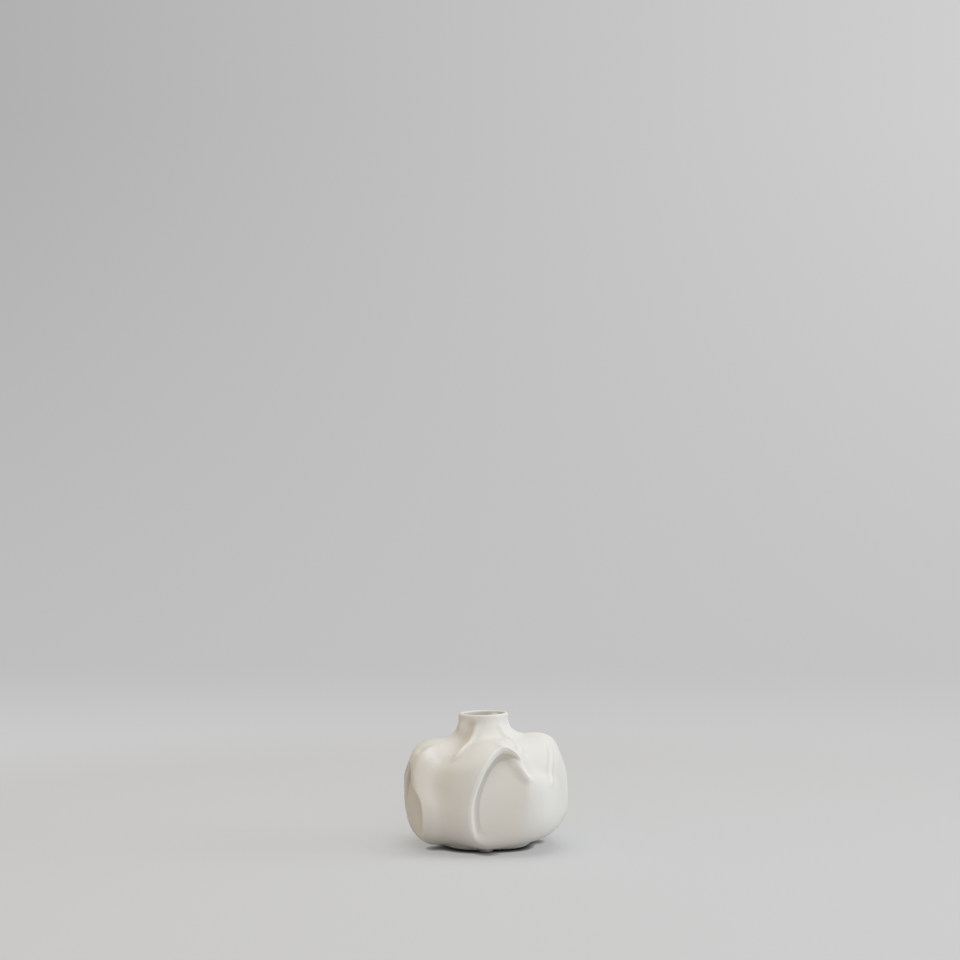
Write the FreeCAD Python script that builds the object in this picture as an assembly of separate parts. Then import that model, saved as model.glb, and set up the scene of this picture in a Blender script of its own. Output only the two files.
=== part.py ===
import FreeCAD, Part
import math
import os

# A pillow vase: one hollow cast ceramic body with a short neck, standing on four low pads.
# Millimetres. Origin at the bottom centre of the vase's box, +Z up, the face seen first towards -Y.
# Turns are in degrees, counted from -Y towards +X.

# Pads under the base
PAD_R = 8.5
PAD_T = 2.4
PAD_EDGE = 0.5
PAD_INSET = 1.5
PAD_NAMES = ("foot_pad_front", "foot_pad_right", "foot_pad_back", "foot_pad_left")

# Body: the outline of revolution that the folds are pressed into
BASE_R = 48.5
BASE_Z = PAD_T
BASE_POWER = 2.4
BELLY_R = 105.0
BELLY_Z = 54.0
SHOULDER_R = 51.5
SHOULDER_Z = 133.5
SHOULDER_POWER = 2.9
PAD_RING_R = BASE_R - PAD_INSET - PAD_R

# Neck, rim and wall
NECK_R = 30.0
NECK_Z = 154.0
NECK_POWER = 1.75
RIM_Z = 161.2
LIP_DROP = 2.2
WALL = 4.7
FLOOR_T = 6.0
FLOOR_ROUND = 4.0
FLOOR_RING_SHARES = (0.6, 1.4)

# Four-sided swelling of the plan, as a share of the radius, and its turn
SQUARE_BASE = -0.05
SQUARE_BELLY = -0.057
SQUARE_TURN_BASE = 9.0
SQUARE_TURN_BELLY = 10.5

# Valleys pressed in to the left and right of the front lobe. The back half of the vase
# repeats the front half by a half turn. Stations run from the base's edge to the rim:
# four by their share of the rise to the belly, three by their share of the rise from
# there to the shoulder, one at the neck's foot and one at the rim.
VALLEY_LOW_SHARES = (0.0, 0.47, 0.81, 1.0)
VALLEY_HIGH_SHARES = (0.39, 0.65, 0.875)
VALLEY_CREASE = 2.5
VALLEY_POWER_LOW = 1.85
VALLEY_POWER_HIGH = 1.75
VALLEY_MIX_LOW = 0.52
VALLEY_MIX_HIGH = 0.835
FLANK_MIX_LOW = 0.61
FLANK_MIX_HIGH = 0.9

LEFT_VALLEY_TURN = (-33.0, -30.0, -29.0, -30.0, -36.0, -38.0, -40.0, -48.0, -33.0)
LEFT_VALLEY_LEFT = (60.0, 37.0, 34.5, 32.0, 35.0, 37.5, 31.5, 19.0, 8.0)
LEFT_VALLEY_RIGHT = (60.0, 50.0, 48.0, 52.0, 72.0, 77.0, 73.0, 31.0, 8.0)
LEFT_VALLEY_DEPTH = (5.5, 11.5, 12.0, 12.0, 17.0, 19.0, 20.0, 9.5, 2.0)
LEFT_VALLEY = (LEFT_VALLEY_TURN, LEFT_VALLEY_LEFT, LEFT_VALLEY_RIGHT, LEFT_VALLEY_DEPTH)

RIGHT_VALLEY_TURN = (50.0, 70.0, 66.0, 66.5, 64.0, 49.0, 48.5, 55.0, 57.0)
RIGHT_VALLEY_LEFT = (90.0, 84.0, 72.0, 74.0, 81.0, 68.0, 59.0, 11.0, 8.0)
RIGHT_VALLEY_RIGHT = (80.0, 54.0, 49.0, 43.0, 48.0, 86.0, 57.0, 19.0, 8.0)
RIGHT_VALLEY_DEPTH = (9.5, 9.0, 9.5, 10.5, 13.0, 16.5, 16.0, 1.5, 1.5)
RIGHT_VALLEY = (RIGHT_VALLEY_TURN, RIGHT_VALLEY_LEFT, RIGHT_VALLEY_RIGHT, RIGHT_VALLEY_DEPTH)

# How steeply the flanks of the valleys fall: on their left, and on their right for each valley
LEFT_FLANK_LOW = 2.25
LEFT_FLANK_HIGH = 2.5
RIGHT_FLANKS = ((3.0, 2.2), (2.1, 1.05))

# Teardrop hollow in each lobe: its border's reach from its centre every 22.5 degrees,
# from its right side upwards, and the lean, bow and dish of its nearly flat floor
DENT_STRETCH = 1.35
DENT_HALF_HEIGHT = 60.0
DENT_HALF_WIDTH = 40.0
DENT_MIN_R = 70.0
DENT_CLIP_WIDTH = 90.0
DENT_TURN_LIMIT = 80.0
DENT_RIGHT_SIDE = -20.0
DENT_RIGHT_SPREAD = 50.0
DENT_LOW_SIDE = -118.0
DENT_LOW_SPREAD = 38.0
DENT_FLOOR_BLEND = 9.0

FRONT_TURN = 27.0
FRONT_RISE = 2.5
FRONT_REACH = (42.0, 41.0, 51.0, 44.0, 65.0, 70.5, 66.5, 63.5,
               65.5, 67.5, 60.0, 59.0, 49.0, 58.0, 62.0, 56.0)
FRONT_FLOOR_DEPTH = 16.5
FRONT_FLOOR_TURN = -5.5
FRONT_FLOOR_LEAN = 7.0
FRONT_FLOOR_BOW = 13.5
FRONT_FLOOR_DISH = 1.0
FRONT_WALL = 3.5
FRONT_WALL_RIGHT = 40.0
FRONT_WALL_LOW = 24.0
FRONT_DENT = (FRONT_TURN, FRONT_RISE, FRONT_REACH, FRONT_FLOOR_DEPTH, FRONT_FLOOR_TURN,
              FRONT_FLOOR_LEAN, FRONT_FLOOR_BOW, FRONT_FLOOR_DISH, FRONT_WALL,
              FRONT_WALL_RIGHT, FRONT_WALL_LOW)

SIDE_TURN = -71.5
SIDE_RISE = 7.5
SIDE_REACH = (51.0, 36.0, 34.0, 39.5, 44.5, 49.0, 47.0, 46.5,
              47.5, 53.5, 57.0, 62.0, 45.0, 53.5, 67.0, 61.0)
SIDE_FLOOR_DEPTH = 14.5
SIDE_FLOOR_TURN = -73.0
SIDE_FLOOR_LEAN = 7.0
SIDE_FLOOR_BOW = 4.0
SIDE_FLOOR_DISH = -2.0
SIDE_WALL = 5.0
SIDE_WALL_RIGHT = 24.0
SIDE_WALL_LOW = 14.0
SIDE_DENT = (SIDE_TURN, SIDE_RISE, SIDE_REACH, SIDE_FLOOR_DEPTH, SIDE_FLOOR_TURN,
             SIDE_FLOOR_LEAN, SIDE_FLOOR_BOW, SIDE_FLOOR_DISH, SIDE_WALL,
             SIDE_WALL_RIGHT, SIDE_WALL_LOW)

# Blend of valley and hollow, low and high on the body
BLEND_MIX_LOW = 0.075
BLEND_MIX_HIGH = 0.55
HOLLOW_BLEND_LOW = 0.8
HOLLOW_BLEND_HIGH = 1.25

# Pinched crests: the hollow's right shoulder, the neck's left flank, the line on the right
# and the crease on the neck's right; the last, with a height below zero, is a shallow groove
PINCH_HEIGHTS = (87.0, 108.0, 124.0, 133.0)
PINCH_TURNS = (32.0, 27.0, 22.5, 11.5)
PINCH_HEIGHT = 3.2
PINCH_WIDTH = 6.0
NECK_CREST_HEIGHTS = (126.0, 132.0, 143.0, 151.0)
NECK_CREST_TURNS = (-28.5, -24.5, -18.5, -15.5)
NECK_CREST_HEIGHT = 3.2
NECK_CREST_WIDTH = 4.4
LINE_HEIGHTS = (79.0, 102.0, 115.5, 128.0)
LINE_TURNS = (50.5, 58.0, 64.5, 72.0)
LINE_HEIGHT = 1.8
LINE_WIDTH = 4.0
CREASE_HEIGHTS = (121.0, 131.0, 142.0, 151.0)
CREASE_TURNS = (30.5, 34.5, 38.0, 38.0)
CREASE_HEIGHT = 1.8
CREASE_WIDTH = 3.5
GROOVE_HEIGHTS = (121.0, 129.0, 138.0, 147.0)
GROOVE_TURNS = (-70.0, -70.0, -70.0, -70.0)
GROOVE_HEIGHT = -4.0
GROOVE_WIDTH = 14.0
CREST_START = 2.0
CREST_GROW = 7.0
CRESTS = ((PINCH_HEIGHTS, PINCH_TURNS, PINCH_HEIGHT, PINCH_WIDTH),
          (NECK_CREST_HEIGHTS, NECK_CREST_TURNS, NECK_CREST_HEIGHT, NECK_CREST_WIDTH),
          (LINE_HEIGHTS, LINE_TURNS, LINE_HEIGHT, LINE_WIDTH),
          (CREASE_HEIGHTS, CREASE_TURNS, CREASE_HEIGHT, CREASE_WIDTH),
          (GROOVE_HEIGHTS, GROOVE_TURNS, GROOVE_HEIGHT, GROOVE_WIDTH))

# Hollows fade out towards the flat base and towards the rim
BASE_FADE = 16.0
RIM_FADE = 8.0

# The hand-finished top leans a little to one side
SHIFT_TOP = -2.9
TILT_SHOULDER = 4.25
TILT_RIM = 1.3
CENTRE_X = -0.15

# How finely the surface is drawn
HALVES = 2
FULL_TURN = 360.0
HALF_TURN = 180.0
QUARTER_TURN = 90.0
FIRST_TURN = -120.0
HALF_COLUMNS = 90
OUTER_ROWS = 66
LIP_ROWS = 7
TRACE_STEPS = 160


def smooth_step(x, low, high):
    t = min(max((x - low) / (high - low), 0.0), 1.0)
    return t * t * (3.0 - 2.0 * t)


def smooth_max(a, b, blend):
    h = max(blend - abs(a - b), 0.0) / blend
    return max(a, b) + h * h * h * blend / 6.0


def through(xs, ys, x):
    """A smooth curve through stations, each with the slope of the parabola through its neighbours."""
    last = len(xs) - 1
    i = 0
    while i < last - 1 and x > xs[i + 1]:
        i += 1

    def slope(k):
        if k == 0:
            return (ys[1] - ys[0]) / (xs[1] - xs[0])
        if k == last:
            return (ys[last] - ys[last - 1]) / (xs[last] - xs[last - 1])
        a = xs[k] - xs[k - 1]
        b = xs[k + 1] - xs[k]
        return (a * a * ys[k + 1] + (b * b - a * a) * ys[k] - b * b * ys[k - 1]) / (a * b * (a + b))

    h = xs[i + 1] - xs[i]
    t = min(max((x - xs[i]) / h, 0.0), 1.0)
    t2 = t * t
    t3 = t2 * t
    return ((2.0 * t3 - 3.0 * t2 + 1.0) * ys[i] + (t3 - 2.0 * t2 + t) * h * slope(i)
            + (3.0 * t2 - 2.0 * t3) * ys[i + 1] + (t3 - t2) * h * slope(i + 1))


def linear(xs, ys, x):
    lo = 0
    hi = len(xs) - 1
    if x <= xs[0]:
        return ys[0]
    if x >= xs[hi]:
        return ys[hi]
    while hi - lo > 1:
        mid = (lo + hi) // 2
        if xs[mid] <= x:
            lo = mid
        else:
            hi = mid
    t = (x - xs[lo]) / (xs[hi] - xs[lo])
    return ys[lo] + t * (ys[hi] - ys[lo])


def high_z(share):
    return BELLY_Z + share * (SHOULDER_Z - BELLY_Z)


def outline():
    """Radius and height from the base's edge to the rim, with the length along it."""
    rs = []
    zs = []
    for i in range(TRACE_STEPS):
        e = math.radians(QUARTER_TURN * (1.0 - i / TRACE_STEPS))
        rs.append(BASE_R + (BELLY_R - BASE_R) * math.cos(e) ** (2.0 / BASE_POWER))
        zs.append(BELLY_Z - (BELLY_Z - BASE_Z) * math.sin(e) ** (2.0 / BASE_POWER))
    for i in range(TRACE_STEPS):
        e = math.radians(QUARTER_TURN * i / TRACE_STEPS)
        rs.append(SHOULDER_R + (BELLY_R - SHOULDER_R) * math.cos(e) ** (2.0 / SHOULDER_POWER))
        zs.append(BELLY_Z + (SHOULDER_Z - BELLY_Z) * math.sin(e) ** (2.0 / SHOULDER_POWER))
    for i in range(TRACE_STEPS):
        e = math.radians(QUARTER_TURN * (1.0 - i / TRACE_STEPS))
        rs.append(SHOULDER_R - (SHOULDER_R - NECK_R) * math.cos(e) ** (2.0 / NECK_POWER))
        zs.append(NECK_Z - (NECK_Z - SHOULDER_Z) * math.sin(e) ** (2.0 / NECK_POWER))
    rs += [NECK_R, NECK_R]
    zs += [NECK_Z, RIM_Z - LIP_DROP]
    along = [0.0]
    for i in range(1, len(rs)):
        along.append(along[-1] + math.hypot(rs[i] - rs[i - 1], zs[i] - zs[i - 1]))
    return rs, zs, along


def stations(rs, zs, along):
    """Where the valley stations lie along the outline."""
    found = [linear(zs, along, BASE_Z + share * (BELLY_Z - BASE_Z)) for share in VALLEY_LOW_SHARES]
    found += [linear(zs, along, high_z(share)) for share in VALLEY_HIGH_SHARES]
    found.append(along[2 * TRACE_STEPS + TRACE_STEPS // 2])
    found.append(along[-1])
    return found


def valley(turn, r, place, left, right, depth, power, left_slope, right_slope):
    """Depth of a pressed valley at one turn, from its place, widths and depth on this row."""
    deepest = 0.0
    for k in (-1, 0, 1):
        u = math.radians(turn - place - HALF_TURN * k) * r
        width = left if u < 0.0 else right
        slope = left_slope if u < 0.0 else right_slope
        soft = math.sqrt(u * u + VALLEY_CREASE ** 2) - 0.5 * VALLEY_CREASE
        q = max(1.0 - min(soft / width, 1.0) ** power, 0.0)
        deepest = max(deepest, depth * q ** slope)
    return deepest


def side_share(angle, centre, spread):
    away = (angle - centre + HALF_TURN) % FULL_TURN - HALF_TURN
    return math.exp(-(away / spread) ** 2)


def dent(turn, r, z, sizes):
    """Depth of a teardrop hollow: a nearly flat floor inside a drawn border."""
    place, rise, reach, floor_depth, floor_turn, lean, bow, dish, wall, wall_right, wall_low = sizes
    count = len(reach)
    angles = [FULL_TURN * (k - count - 1) / count for k in range(3 * count + 2)]
    radii = [reach[(k - count - 1) % count] for k in range(3 * count + 2)]
    deepest = 0.0
    for k in (-1, 0, 1):
        u = math.radians(turn - place - HALF_TURN * k) * max(r, DENT_MIN_R)
        if abs(u) > DENT_CLIP_WIDTH:
            continue
        v = z - BELLY_Z - rise
        angle = math.degrees(math.atan2(v, u * DENT_STRETCH))
        border = through(angles, radii, angle)
        width = (wall + (wall_right - wall) * side_share(angle, DENT_RIGHT_SIDE, DENT_RIGHT_SPREAD)
                 + (wall_low - wall) * side_share(angle, DENT_LOW_SIDE, DENT_LOW_SPREAD))
        q = min(max((border - math.hypot(u, v)) / width, 0.0), 1.0)
        if q == 0.0:
            continue
        share = 1.0 - (1.0 - q) ** 2
        h = v / DENT_HALF_HEIGHT
        floor_r = BELLY_R - floor_depth - lean * h - bow * h * h + dish * (u / DENT_HALF_WIDTH) ** 2
        away = min(max(turn - HALF_TURN * k - floor_turn, -DENT_TURN_LIMIT), DENT_TURN_LIMIT)
        floor_r /= math.cos(math.radians(away))
        deepest = max(deepest, share * smooth_max(r - floor_r, 0.0, DENT_FLOOR_BLEND))
    return deepest


def crest(turn, r, z, path, slant):
    """Height of a pinched crest that runs along a path of (height, turn) and fades at its ends."""
    heights, turns, height, width = path
    low = heights[0]
    high = heights[-1]
    grow = smooth_step(z, low - CREST_START, low + CREST_GROW)
    grow *= 1.0 - smooth_step(z, high - CREST_GROW, high + CREST_START)
    if grow == 0.0:
        return 0.0
    middle = through(heights, turns, z)
    total = 0.0
    for k in (-1, 0, 1):
        u = math.radians(turn - middle - HALF_TURN * k) * r * slant
        total += height * grow * math.exp(-(u / width) ** 2)
    return total


def hand_lean(p):
    """Shift and tilt of the top, which leaves the base as it is."""
    low = smooth_step(p[2], BELLY_Z, SHOULDER_Z)
    high = smooth_step(p[2], SHOULDER_Z, NECK_Z)
    tilt = math.radians(TILT_SHOULDER * low * (1.0 - high) + TILT_RIM * high)
    x = p[0] + SHIFT_TOP * smooth_step(p[2], BELLY_Z, NECK_Z)
    return FreeCAD.Vector(x - CENTRE_X, p[1], p[2] + p[0] * tilt)


def vase_rows():
    """Rings of control points: outside from the base up, over the lip, and down the inside."""
    rs, zs, along = outline()
    marks = stations(rs, zs, along)
    columns = HALVES * HALF_COLUMNS
    step = along[-1] / (OUTER_ROWS - 1)
    base = []
    depth = []
    for j in range(OUTER_ROWS):
        s = step * j
        r = linear(along, rs, s)
        z = linear(along, zs, s)
        ahead = min(s + 0.5 * step, along[-1])
        behind = max(s - 0.5 * step, 0.0)
        dr = linear(along, rs, ahead) - linear(along, rs, behind)
        dz = linear(along, zs, ahead) - linear(along, zs, behind)
        size = math.hypot(dr, dz)
        out_r = dz / size
        out_z = -dr / size
        left_at = [through(marks, values, s) for values in LEFT_VALLEY]
        right_at = [through(marks, values, s) for values in RIGHT_VALLEY]
        mix = smooth_step(z, high_z(VALLEY_MIX_LOW), high_z(VALLEY_MIX_HIGH))
        flank = smooth_step(z, high_z(FLANK_MIX_LOW), high_z(FLANK_MIX_HIGH))
        power = VALLEY_POWER_LOW + (VALLEY_POWER_HIGH - VALLEY_POWER_LOW) * mix
        left_slope = LEFT_FLANK_LOW + (LEFT_FLANK_HIGH - LEFT_FLANK_LOW) * mix
        right_slopes = [low + (high - low) * flank for low, high in RIGHT_FLANKS]
        sharp = smooth_step(z, high_z(BLEND_MIX_LOW), high_z(BLEND_MIX_HIGH))
        blend = HOLLOW_BLEND_LOW + (HOLLOW_BLEND_HIGH - HOLLOW_BLEND_LOW) * sharp
        grow = smooth_step(z, BASE_Z, BELLY_Z)
        square = SQUARE_BASE + (SQUARE_BELLY - SQUARE_BASE) * grow
        square *= 1.0 - smooth_step(z, high_z(VALLEY_HIGH_SHARES[-1]), NECK_Z)
        square_turn = SQUARE_TURN_BASE + (SQUARE_TURN_BELLY - SQUARE_TURN_BASE) * grow
        rim_fade = smooth_step(z, RIM_Z - LIP_DROP - RIM_FADE, RIM_Z - LIP_DROP)
        fade = smooth_step(s, 0.0, BASE_FADE) * (1.0 - rim_fade)
        slants = []
        for path in CRESTS:
            bend = through(path[0], path[1], linear(along, zs, ahead))
            bend -= through(path[0], path[1], linear(along, zs, behind))
            slants.append(1.0 / math.hypot(1.0, math.radians(bend) * r / (ahead - behind)))
        ring = []
        sunk = []
        for i in range(HALF_COLUMNS):
            turn = HALF_TURN * i / HALF_COLUMNS + FIRST_TURN
            full_r = r * (1.0 + square * math.cos(math.radians(2.0 * HALVES * (turn - square_turn))))
            pressed = max(valley(turn, full_r, *left_at, power, left_slope, right_slopes[0]),
                          valley(turn, full_r, *right_at, power, left_slope, right_slopes[1]))
            hollow = max(dent(turn, full_r, z, FRONT_DENT), dent(turn, full_r, z, SIDE_DENT))
            d = smooth_max(pressed, hollow, blend) - blend / 6.0
            for path, slant in zip(CRESTS, slants):
                d -= crest(turn, full_r, z, path, slant)
            ring.append(full_r)
            sunk.append(d * fade)
        base.append((ring, z, out_r, out_z))
        depth.append(sunk)

    def place(j, i, d):
        ring, z, out_r, out_z = base[j]
        turn = math.radians(FULL_TURN * i / columns + FIRST_TURN)
        rr = ring[i % HALF_COLUMNS] - out_r * d
        return (rr * math.sin(turn), -rr * math.cos(turn), z - out_z * d)

    def inner_depth(j, i):
        """The outside's depth grown by the wall, so the wall is nowhere thinner."""
        gap = math.radians(FULL_TURN / columns) * base[j][0][i % HALF_COLUMNS]
        reach_i = int(WALL / gap)
        reach_j = int(WALL / step)
        best = 0.0
        for a in range(-reach_j, reach_j + 1):
            if not 0 <= j + a < OUTER_ROWS:
                continue
            for b in range(-reach_i, reach_i + 1):
                far = (a * step) ** 2 + (b * gap) ** 2
                if far <= WALL * WALL:
                    best = max(best, depth[j + a][(i + b) % HALF_COLUMNS] + math.sqrt(WALL * WALL - far))
        return best

    rows = []
    for j in range(OUTER_ROWS):
        rows.append([place(j, i, depth[j][i % HALF_COLUMNS]) for i in range(columns)])
    for k in range(1, LIP_ROWS + 1):
        e = math.radians(HALF_TURN * k / (LIP_ROWS + 1))
        rr = NECK_R - 0.5 * WALL * (1.0 - math.cos(e))
        zz = RIM_Z - LIP_DROP * (1.0 - math.sin(e))
        ring = []
        for i in range(columns):
            turn = math.radians(FULL_TURN * i / columns + FIRST_TURN)
            ring.append((rr * math.sin(turn), -rr * math.cos(turn), zz))
        rows.append(ring)
    floor_z = BASE_Z + FLOOR_T
    for j in range(OUTER_ROWS - 1, -1, -1):
        deep = [inner_depth(j, i) for i in range(HALF_COLUMNS)]
        ring = [place(j, i, deep[i % HALF_COLUMNS]) for i in range(columns)]
        rows.append([(p[0], p[1], smooth_max(p[2], floor_z, FLOOR_ROUND)) for p in ring])
    last = rows[-1]
    for share in FLOOR_RING_SHARES:
        ring = []
        for p in last:
            rr = math.hypot(p[0], p[1])
            scale = (rr - share * FLOOR_ROUND) / rr
            ring.append((p[0] * scale, p[1] * scale, floor_z))
        rows.append(ring)
    return rows


def set_out(rows):
    """Moves each ring point out by a sixth of the bend there, so that the skin passes by the rings."""
    columns = len(rows[0])

    def moved(p, before, after):
        return tuple(c + (2.0 * c - b - a) / 6.0 for c, b, a in zip(p, before, after))

    turned = [[moved(ring[i], ring[i - 1], ring[(i + 1) % columns]) for i in range(columns)]
              for ring in rows]
    poles = []
    for j, ring in enumerate(turned):
        if j < 2 or j > len(turned) - 3:
            poles.append(ring)
        else:
            poles.append([moved(ring[i], turned[j - 1][i], turned[j + 1][i]) for i in range(columns)])
    return poles


def uniform_knots(count, degree):
    inside = count - degree
    return [float(k) for k in range(inside + 1)], [degree + 1] + [1] * (inside - 1) + [degree + 1]


def vase_body():
    rows = [[hand_lean(p) for p in ring] for ring in set_out(vase_rows())]
    columns = len(rows[0])
    poles = [[rows[j][i] for j in range(len(rows))] for i in range(columns)]
    knots, mults = uniform_knots(len(rows), 3)
    around = [float(k) for k in range(columns + 1)]
    skin = Part.BSplineSurface()
    skin.buildFromPolesMultsKnots(poles, [1] * (columns + 1), mults, around, knots, True, False, 3, 3)
    band = skin.toShape()
    faces = [band]
    for edge in band.Edges:
        if edge.isClosed():
            cap = Part.Face(Part.Wire([edge]))
            up = edge.BoundBox.ZMax > BASE_Z + 0.5 * FLOOR_T
            if (cap.normalAt(0.0, 0.0).z > 0.0) != up:
                cap.reverse()
            faces.append(cap)
    return Part.makeSolid(Part.makeShell(faces))


def foot_pad(turn):
    x = PAD_RING_R * math.sin(math.radians(turn)) - CENTRE_X
    y = -PAD_RING_R * math.cos(math.radians(turn))
    pad = Part.makeCylinder(PAD_R, PAD_T, FreeCAD.Vector(x, y, 0.0), FreeCAD.Vector(0.0, 0.0, 1.0))
    edges = [e for e in pad.Edges if e.BoundBox.ZMax < 0.5 * PAD_T]
    return pad.makeFillet(PAD_EDGE, edges).Solids[0]


def main():
    os.makedirs("parts", exist_ok=True)
    shapes = {"vase_body": vase_body()}
    for k, name in enumerate(PAD_NAMES):
        shapes[name] = foot_pad(QUARTER_TURN * k)
    for name, shape in shapes.items():
        box = shape.BoundBox
        print(name, shape.ShapeType, shape.isValid(), shape.isClosed(), round(shape.Volume, 1),
              [round(v, 2) for v in (box.XMin, box.XMax, box.YMin, box.YMax, box.ZMin, box.ZMax)])
        shape.exportStep("parts/" + name + ".step")


main()
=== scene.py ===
import math

import bpy
import numpy as np
from bpy.props import FloatProperty, FloatVectorProperty, PointerProperty
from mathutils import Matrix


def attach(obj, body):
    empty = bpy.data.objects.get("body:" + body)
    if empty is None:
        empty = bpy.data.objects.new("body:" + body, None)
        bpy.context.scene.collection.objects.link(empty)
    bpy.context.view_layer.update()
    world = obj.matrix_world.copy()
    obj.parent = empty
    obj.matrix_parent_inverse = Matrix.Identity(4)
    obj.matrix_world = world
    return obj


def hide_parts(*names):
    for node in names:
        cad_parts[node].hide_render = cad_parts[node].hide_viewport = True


bl_info = {
    "name": "Pillow vase",
    "version": (1, 0, 0),
    "blender": (4, 5, 0),
    "location": "View3D > Sidebar > Pillow Vase",
    "description": "A pressed-in cast ceramic vase on four soft pads, with its studio",
    "category": "Add Mesh",
}

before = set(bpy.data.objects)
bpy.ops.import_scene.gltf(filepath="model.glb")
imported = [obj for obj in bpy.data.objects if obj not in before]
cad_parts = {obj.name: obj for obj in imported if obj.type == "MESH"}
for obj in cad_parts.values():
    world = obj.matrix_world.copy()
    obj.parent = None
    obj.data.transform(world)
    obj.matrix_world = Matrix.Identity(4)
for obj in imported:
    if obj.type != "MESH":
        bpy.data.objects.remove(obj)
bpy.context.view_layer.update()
MM = 0.001

# Grid: the back half repeats the front half, each with its own columns of the skin
HALVES = 2
FULL_TURN = 360.0
HALF_TURN = 180.0
FIRST_TURN = -120.0
HALF_COLUMNS = 200
OUTER_ROWS = 160
LIP_ROWS = 9
INNER_SKIP = 3
INNER_EDGE_ROWS = 6
BEND_COLUMNS = 3
NORMAL_REACH = 0.7
TRACE_STEPS = 600
PAD_COLUMNS = 64

# Level camera: place in metres, focal length in pixels of the square picture
EYE = (-0.00678, -2.5668, 0.444)
SENSOR_WIDTH = 36.0
FOCAL_PIXELS = 2110.0
PHOTO_PIXELS = 960.0

# Body outline, in millimetres
BASE_R, BASE_Z, BASE_POWER = 48.5, 2.4, 2.4
BELLY_R, BELLY_Z = 105.0, 54.0
SHOULDER_R, SHOULDER_Z, SHOULDER_POWER = 51.5, 133.5, 2.9
NECK_R, NECK_Z, NECK_POWER = 30.0, 154.0, 1.75
RIM_Z, LIP_DROP = 161.2, 2.2
FLOOR_T, FLOOR_ROUND = 6.0, 4.0
FLOOR_RING_SHARES = (0.6, 1.4)

# Four-sided swelling of the plan
SQUARE_BASE, SQUARE_BELLY = -0.05, -0.057
SQUARE_TURN_BASE, SQUARE_TURN_BELLY = 9.0, 10.5

# Valleys left and right of the front lobe, station by station from the base to the rim:
# turn, width to the left, width to the right, depth
VALLEY_LOW_SHARES = (0.0, 0.47, 0.81, 1.0)
VALLEY_HIGH_SHARES = (0.39, 0.65, 0.875)
LEFT_VALLEY = ((-33.0, -30.0, -29.0, -30.0, -36.0, -38.0, -40.0, -48.0, -33.0),
               (60.0, 37.0, 34.5, 32.0, 35.0, 37.5, 31.5, 19.0, 8.0),
               (60.0, 50.0, 48.0, 52.0, 72.0, 77.0, 73.0, 31.0, 8.0),
               (5.5, 11.5, 12.0, 12.0, 17.0, 19.0, 20.0, 9.5, 2.0))
RIGHT_VALLEY = ((50.0, 70.0, 66.0, 66.5, 64.0, 49.0, 48.5, 55.0, 57.0),
                (90.0, 84.0, 72.0, 74.0, 81.0, 68.0, 59.0, 11.0, 8.0),
                (80.0, 54.0, 49.0, 43.0, 48.0, 86.0, 57.0, 19.0, 8.0),
                (9.5, 9.0, 9.5, 10.5, 13.0, 16.5, 16.0, 1.5, 1.5))
VALLEY_POWERS, LEFT_FLANK = (1.85, 1.75), (2.25, 2.5)
RIGHT_FLANKS = ((3.0, 2.2), (2.1, 1.05))
VALLEY_MIX, FLANK_MIX = (0.52, 0.835), (0.61, 0.9)
BLEND_MIX, HOLLOW_BLENDS = (0.075, 0.55), (0.8, 1.25)

# Teardrop hollows of the front lobe and the side lobe: turn and rise of the centre, reach
# of the border every 22.5 degrees, then depth, turn, lean, bow and dish of the floor, and
# the width of the wall at the top, on the right and below
FRONT_DENT = (27.0, 2.5, (42.0, 41.0, 51.0, 44.0, 65.0, 70.5, 66.5, 63.5,
                          65.5, 67.5, 60.0, 59.0, 49.0, 58.0, 62.0, 56.0),
              16.5, -5.5, 7.0, 13.5, 1.0, 3.5, 40.0, 24.0)
SIDE_DENT = (-71.5, 7.5, (51.0, 36.0, 34.0, 39.5, 44.5, 49.0, 47.0, 46.5,
                          47.5, 53.5, 57.0, 62.0, 45.0, 53.5, 67.0, 61.0),
             14.5, -73.0, 7.0, 4.0, -2.0, 5.0, 24.0, 14.0)
DENT_STRETCH, DENT_FLOOR_BLEND = 1.35, 9.0
DENT_HALF_HEIGHT, DENT_HALF_WIDTH = 60.0, 40.0
DENT_MIN_R, DENT_CLIP_WIDTH, DENT_TURN_LIMIT = 70.0, 90.0, 80.0
DENT_RIGHT_SIDE, DENT_LOW_SIDE = (-20.0, 50.0), (-118.0, 38.0)

# Pinched crests: heights, turns, height and width
CRESTS = (((87.0, 108.0, 124.0, 133.0), (32.0, 27.0, 22.5, 11.5), 3.2, 6.0),
          ((126.0, 132.0, 143.0, 151.0), (-28.5, -24.5, -18.5, -15.5), 3.2, 4.4),
          ((79.0, 102.0, 115.5, 128.0), (50.5, 58.0, 64.5, 72.0), 1.8, 4.0),
          ((121.0, 131.0, 142.0, 151.0), (30.5, 34.5, 38.0, 38.0), 1.8, 3.5),
          ((121.0, 129.0, 138.0, 147.0), (-70.0, -70.0, -70.0, -70.0), -4.0, 14.0))
CREST_START, CREST_GROW = 2.0, 7.0

# Fades and the hand-made lean
BASE_FADE, RIM_FADE = 16.0, 8.0
SHIFT_TOP, TILT_SHOULDER, TILT_RIM, CENTRE_X = -2.9, 4.25, 1.3, -0.15


class VaseSizes(bpy.types.PropertyGroup):
    """Sizes of the cast body that a maker would change."""

    wall: FloatProperty(name="Wall", description="Thickness of the cast wall, in metres",
                        default=0.0047, subtype="DISTANCE", unit="LENGTH")
    deeper: FloatProperty(name="Deeper hollows",
                          description="Added to the depth of the teardrop hollows, in metres",
                          default=0.0, subtype="DISTANCE", unit="LENGTH")
    crease: FloatProperty(name="Valley crease", description="Softness of the valley line, in metres",
                          default=0.0025, subtype="DISTANCE", unit="LENGTH")


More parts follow.
